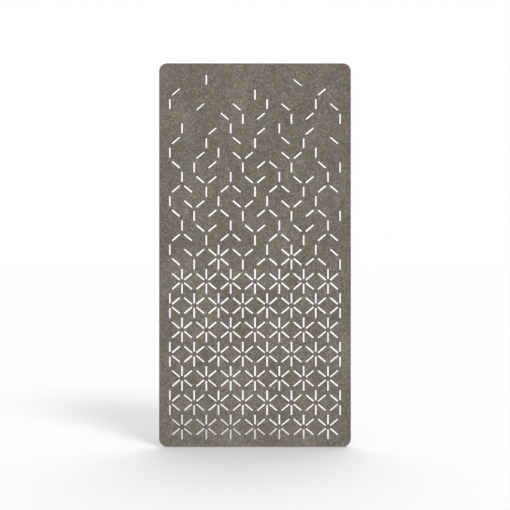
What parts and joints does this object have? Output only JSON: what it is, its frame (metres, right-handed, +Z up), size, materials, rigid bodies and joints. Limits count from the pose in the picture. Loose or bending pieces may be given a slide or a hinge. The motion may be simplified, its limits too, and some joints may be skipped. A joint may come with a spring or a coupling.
{
  "type": "hanging room divider panel",
  "caption": "Tall felt divider with rounded corners and a star lattice of through slots that thins out towards the top, hung from threaded anchors hidden in its top edge.",
  "frame": {"origin": "middle of the top edge, halfway between the two threaded anchors, at the level of their mouths", "axes": "+X along the width, +Y through the thickness away from the front face, +Z up; the panel hangs down from the origin"},
  "size_m": [1.2, 0.012, 2.4],
  "materials": {
    "felt": "needled polyester felt board, heathered taupe, matt",
    "film": "hot-melt bond film, milky",
    "zinc_plated_steel": "zinc plated sheet",
    "turned_steel": "turned, zinc plated",
    "rivet_steel": "plain, peened flush"
  },
  "bodies": {
    "root": {"felt_front": "felt", "felt_back": "felt", "bond_film": "film", "anchor_plate_left": "zinc_plated_steel", "anchor_plate_right": "zinc_plated_steel", "anchor_barrel_left": "turned_steel", "anchor_barrel_right": "turned_steel", "anchor_rivets": "rivet_steel"}
  },
  "joints": []
}
